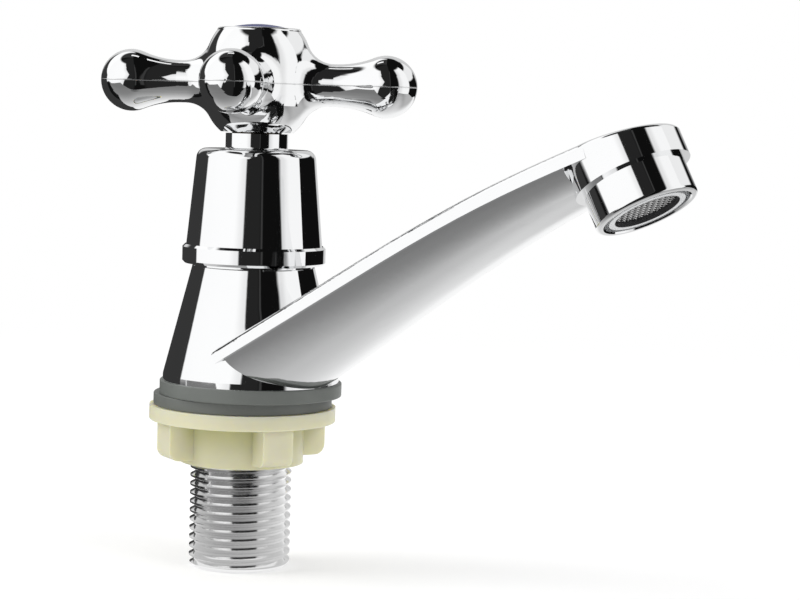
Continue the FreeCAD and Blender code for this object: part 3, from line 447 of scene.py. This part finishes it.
def moulded(name, colour, rough, grain, depth, fade=0.9, recess_shading=None, **sockets):
    """Moulded plastic, rubber or pressed fibre, slightly uneven in colour and in its skin. Grain
    is the skin's noise scale, depth its height in metres, fade how dark the colour's darker
    patches are, and recess_shading paints shade into the colour in a recess."""
    tree = Tree(bpy.data.materials.new(name))
    coords, x, y, height = tree.place()
    cloud = tree.noise(coords, cloud_scale, 4.0)
    grains = tree.noise(coords, grain, 3.0)
    shade = tree.mix(cloud, toned(colour, fade), toned(colour, 2 - fade))
    # Painted shade in a recess, for the pieces that ask for it.
    if recess_shading:
        shade = recess_shading(tree, shade, x, y, height)
    return tree.skin(grains * depth, Base_Color=shade,
                     Roughness=rough + skin_rough * (grains - 0.5), **sockets)


dress("index_disc", moulded("index_blue", index_colour, rough=0.35, grain=900.0,
                            depth=0.000004, Specular_IOR_Level=index_shine))

# ------------------------------------------------------------------ handle's screw and bush
# The screw is plated steel with a cross recess, and it draws the handle down on the spindle. The
# bush is white acetal, moulded round the spline, so that the handle doesn't seize on it.
screw_tint = (0.62, 0.61, 0.58)
acetal_colour = (0.74, 0.73, 0.7)
dress("handle_screw", chrome("screw_steel", [(600.0, 0.000002)], gloss=0.22, tint=screw_tint))
dress("spline_bush", moulded("bush_plastic", acetal_colour, rough=0.4, grain=1200.0,
                             depth=0.000006))

# ------------------------------------------------------------------ headwork
# Turned brass housing, screwed in the column, with its spindle, snap ring and slip washer. Fine
# rings from the lathe show on the flats and round the stem.
valve_axis = 0.0022
tool_feed = 0.00022
tool_mark = 0.000002
tip_level = 0.051
tip_fade = 0.001
brass_colour, spindle_colour = (0.78, 0.57, 0.26), (0.8, 0.61, 0.31)
# Painted shade: near black for the brass tip that shows in the gap between the collar and the
# handle's hub.
tip_shade_colour = (0.05, 0.042, 0.032)
spring_steel = (0.4, 0.41, 0.43)
slip_colour = (0.62, 0.6, 0.55)


def turned_brass(name, colour):
    """Bare brass with the tool's rings round the valve's axis; painted shade darkens its tip."""
    tree = Tree(bpy.data.materials.new(name))
    coords, x, y, height = tree.place()
    rings = (reach(x - valve_axis, y) + height) * 2 * math.pi / tool_feed
    rings = rings.calculate("SINE", rings)
    dull = tree.noise(coords, 160.0, 5.0)
    shade = tree.mix(dull, toned(colour, 0.78), colour)
    # Painted shade: above the tip level the brass is mixed to near black.
    shade = tree.mix(height.rise(tip_level, tip_level + tip_fade), shade, tip_shade_colour)
    return tree.skin(rings * tool_mark, Base_Color=shade, Metallic=1.0,
                     Roughness=0.24 + 0.16 * dull)


dress("cartridge_housing", turned_brass("housing_brass", brass_colour))
dress("spindle", turned_brass("spindle_brass", spindle_colour))
dress("circlip", chrome("clip_steel", [(900.0, 0.000001)], gloss=0.3, tint=spring_steel))
dress("thrust_washer", moulded("slip_plastic", slip_colour, rough=0.35, grain=1500.0,
                               depth=0.000003))

# ------------------------------------------------------------------ ceramic discs and seals
# Two ground alumina discs, off-white with fine grey specks, turn on each other to shut the water
# off. Black rubber seals and red fibre rings close the joints round them.
alumina_colour, speck_colour = (0.82, 0.8, 0.76), (0.42, 0.41, 0.4)
rubber_colour = (0.018, 0.018, 0.019)
fibre_colour = (0.33, 0.11, 0.07)
grinding = 0.0000006


def alumina(name):
    """Fired ceramic, ground flat: almost smooth, with fine specks."""
    tree = Tree(bpy.data.materials.new(name))
    coords = tree.place()[0]
    speck = tree.noise(coords, 2600.0, 2.0).rise(0.62, 0.7)
    shade = tree.mix(speck * 0.5, alumina_colour, speck_colour)
    return tree.skin(tree.noise(coords, 5000.0, 1.0) * grinding, Base_Color=shade,
                     Roughness=0.2 + 0.2 * speck)


ceramic = alumina("ceramic")
rubber = moulded("seal_rubber", rubber_colour, rough=0.55, grain=2200.0, depth=0.000005)
fibre = moulded("gasket_fibre", fibre_colour, rough=0.8, grain=3000.0, depth=0.00002, fade=0.75)
for disc in ("fixed_disc", "rotating_disc"):
    dress(disc, ceramic)
for seal in ("seat_seal", "lower_o_ring", "upper_o_ring", "aerator_washer"):
    dress(seal, rubber)
for gasket in ("bonnet_gasket", "shank_gasket"):
    dress(gasket, fibre)

# ------------------------------------------------------------------ aerator
# A plated brass ring screwed in the nose holds a pale plastic insert with the nozzle. The coarse
# filter lies on top of the insert, out of sight.
nose_tilt = math.radians(30)
nose_face = Vector((0.09915, 0, 0.0419))
nozzle_bore = 0.00605
bore_rim = 0.0001
insert_colour = (0.7, 0.71, 0.72)
# Painted shade: the colour of the nozzle's bore.
bore_shade_colour = (0.035, 0.035, 0.037)
filter_tint = (0.55, 0.56, 0.57)


def bore_shade(tree, colour, x, y, height):
    """The nozzle's bore is painted nearly black: painted shade for the shadow inside it."""
    out = (x - nose_face.x) * math.cos(nose_tilt) + (height - nose_face.z) * math.sin(nose_tilt)
    return tree.mix(reach(out, y).rise(nozzle_bore + bore_rim, nozzle_bore), colour, bore_shade_colour)


dress("aerator_housing", chrome("aerator_chrome", [(80.0, 0.000008)]))
dress("aerator_insert", moulded("insert_plastic", insert_colour, rough=0.28, grain=1400.0,
                                depth=0.000004, recess_shading=bore_shade))
dress("filter_screen", chrome("filter_steel", [(2000.0, 0.000004)], gloss=0.3, tint=filter_tint))

# ------------------------------------------------------------------ outlet screen
# Plain weave of stainless wire in the nozzle's mouth, cut round to fit its bore. Each wire goes
# over one and under the next, so the open squares look dark between light crossings.
weave_pitch = 0.0008
weave_reach = 0.0059
wire_radius = 0.00016
wire_sides = 6
steps_each_pitch = 6
fewest_steps = 4
wire_tint = (0.85, 0.85, 0.85)

screen_low, screen_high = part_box("aerator_screen")
screen_centre = (screen_low + screen_high) / 2
screen_x = Vector((math.cos(nose_tilt), 0, math.sin(nose_tilt)))
screen_y = Vector((0, 1, 0))
screen_up = Vector((-math.sin(nose_tilt), 0, math.cos(nose_tilt)))


def weave_wire(shape, start, along, beside, length, phase):
    """One wire of the weave: a thin tube that swings up and down once every two pitches."""
    steps = max(fewest_steps, round(length / weave_pitch * steps_each_pitch))
    rounds = []
    for step in range(steps + 1):
        run = length * (step / steps - 0.5)
        swing = wire_radius * math.cos(math.pi * run / weave_pitch) * phase
        middle = start + along * run + screen_up * swing
        rounds.append([shape.verts.new(
            middle + (beside * math.cos(turn) + screen_up * math.sin(turn)) * wire_radius)
            for turn in (2 * math.pi * n / wire_sides for n in range(wire_sides))])
    for first, second in zip(rounds, rounds[1:]):
        for n in range(wire_sides):
            m = (n + 1) % wire_sides
            shape.faces.new((first[n], first[m], second[m], second[n]))
    shape.faces.new(list(reversed(rounds[0])))
    shape.faces.new(rounds[-1])


weave = bmesh.new()
wires_each_side = int(weave_reach / weave_pitch)
for number in range(-wires_each_side, wires_each_side + 1):
    off = number * weave_pitch
    span = 2 * math.sqrt(weave_reach ** 2 - off ** 2)
    sign = 1 if number % 2 == 0 else -1
    weave_wire(weave, screen_centre + screen_y * off, screen_x, screen_y, span, sign)
    weave_wire(weave, screen_centre + screen_x * off, screen_y, screen_x, span, -sign)
bmesh.ops.recalc_face_normals(weave, faces=weave.faces)
screen_mesh = bpy.data.meshes.new("outlet_screen")
weave.to_mesh(screen_mesh)
weave.free()
screen_mesh.shade_smooth()
screen = bpy.data.objects.new("outlet_screen", screen_mesh)
studio.collection.objects.link(screen)
screen_mesh.materials.append(
    chrome("screen_steel", [(3000.0, 0.000004)], gloss=0.24, tint=wire_tint))
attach(screen, "tap")
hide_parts("aerator_screen")

# ------------------------------------------------------------------ threaded tail
# Brass tail with a pipe thread cut along it, plated with the body. Plate is duller on a cut
# thread than on a buffed face, so the flanks look silvery rather than black.
thread_cutting = [(300.0, 0.00001), (1500.0, 0.000004)]
thread_tint = (0.93, 0.93, 0.93)
dress("threaded_shank", chrome("tail_brass", thread_cutting, gloss=0.09, tint=thread_tint))

# ------------------------------------------------------------------ rings above and below the basin
# Two dark grey rings of soft moulded plastic, one under the column's foot and one over the
# backnut, which the basin is held between. Their outer edges are rounded by the mould.
upper_ring_colour, lower_ring_colour = (0.158, 0.17, 0.158), (0.15, 0.16, 0.148)
ring_bore = 0.0109
ring_edge = 0.00025
same_spot = 1e-7
flat_angle = math.radians(0.6)
sharp_angle = math.radians(35)
corner_steps, edge_steps = 5, 3


def is_sharp(edge):
    """Whether an edge turns enough to catch the light."""
    return edge.is_manifold and edge.calc_face_angle() > sharp_angle


def lies_beyond(edge, radius):
    """Whether the whole of an edge is further than radius from the tail's axis."""
    return all(math.hypot(spot.co.x, spot.co.y) > radius for spot in edge.verts)


def bevel(shape, edges, width, steps):
    """Rounds the edges of a mesh over a width on each side."""
    bmesh.ops.bevel(shape, geom=edges, offset=width, offset_type="OFFSET", segments=steps,
                    profile=0.5, affect="EDGES", clamp_overlap=True)


def rounded(node, body, paint, width, inner, corners=0, corner_reach=0, corner_top=0):
    """A copy of a moulded piece with its sharp edges rounded, save those nearer the tail's axis
    than inner. Corners further out than corner_reach, up to corner_top, are rounded more."""
    shape = bmesh.new()
    shape.from_mesh(nodes[node].data)
    # The CAD mesh brings normals of its own, which don't fit the rounded edges.
    for layer in list(shape.loops.layers.float_vector.values()):
        shape.loops.layers.float_vector.remove(layer)
    bmesh.ops.remove_doubles(shape, verts=shape.verts, dist=same_spot)
    bmesh.ops.dissolve_limit(shape, angle_limit=flat_angle, verts=shape.verts, edges=shape.edges)
    if corners:
        bevel(shape, [
            edge for edge in shape.edges
            if is_sharp(edge) and edge.is_convex and lies_beyond(edge, corner_reach)
            and all(spot.co.z < corner_top for spot in edge.verts)
        ], corners, corner_steps)
    bevel(shape, [edge for edge in shape.edges if is_sharp(edge) and lies_beyond(edge, inner)],
          width, edge_steps)
    for face in shape.faces:
        face.smooth = True
    for edge in shape.edges:
        edge.smooth = not is_sharp(edge)
    mesh = bpy.data.meshes.new(node + "_moulded")
    shape.to_mesh(mesh)
    shape.free()
    mesh.materials.append(paint)
    piece = bpy.data.objects.new(node + "_moulded", mesh)
    studio.collection.objects.link(piece)
    even = piece.modifiers.new("even_normals", "WEIGHTED_NORMAL")
    even.keep_sharp = True
    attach(piece, body)
    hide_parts(node)


upper_grey = moulded("ring_grey", upper_ring_colour, rough=0.42, grain=1600.0, depth=0.000006)
lower_grey = moulded("washer_grey", lower_ring_colour, rough=0.46, grain=1600.0, depth=0.000006)
rounded("base_ring", "tap", upper_grey, ring_edge, ring_bore)
rounded("lower_washer", "washer", lower_grey, ring_edge, ring_bore)

# ------------------------------------------------------------------ backnut
# Cream nylon nut with a flange, four finger lugs and a moulded thread. It is slightly see-through,
# and every outer edge is rounded. Painted shade makes it darker and greener between the lugs.
hub_radius = 0.013
lug_edge = 0.0166
thread_mouth = 0.0111
flange_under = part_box("backnut")[0].z + 0.0086
lug_foot = flange_under - 0.0076
flange_fade = 0.0002
nut_edge = 0.0005
lug_corner = 0.0012
lug_corner_reach = 0.0135
lug_corner_top = flange_under + 0.00001
# The second colour is painted shade for the hollows between the lugs and under the flange.
nylon_colour, hollow_shade_colour = (0.74, 0.715, 0.53), (0.56, 0.55, 0.24)
hollow_shade_share, under_flange_shade_share = 0.15, 0.6


def hollow_shade(tree, colour, x, y, height):
    """Painted shade: the colour turns darker and greener between the lugs, most under the flange.
    """
    near_flange = height.rise(lug_foot, flange_under)
    hollow = reach(x, y).rise(lug_edge, hub_radius)
    # Painted shade, strongest just under the flange.
    hollow = hollow * (hollow_shade_share + under_flange_shade_share * near_flange)
    hollow = hollow * height.rise(flange_under + flange_fade, flange_under)
    return tree.mix(hollow, colour, hollow_shade_colour)


nylon = moulded("cream_plastic", nylon_colour, rough=0.38, grain=700.0, depth=0.000008, fade=0.95,
                recess_shading=hollow_shade, Subsurface_Weight=0.7, Subsurface_Scale=0.003,
                Subsurface_Radius=(1.0, 0.85, 0.3))
rounded("backnut", "nut", nylon, nut_edge, thread_mouth,
        corners=lug_corner, corner_reach=lug_corner_reach, corner_top=lug_corner_top)
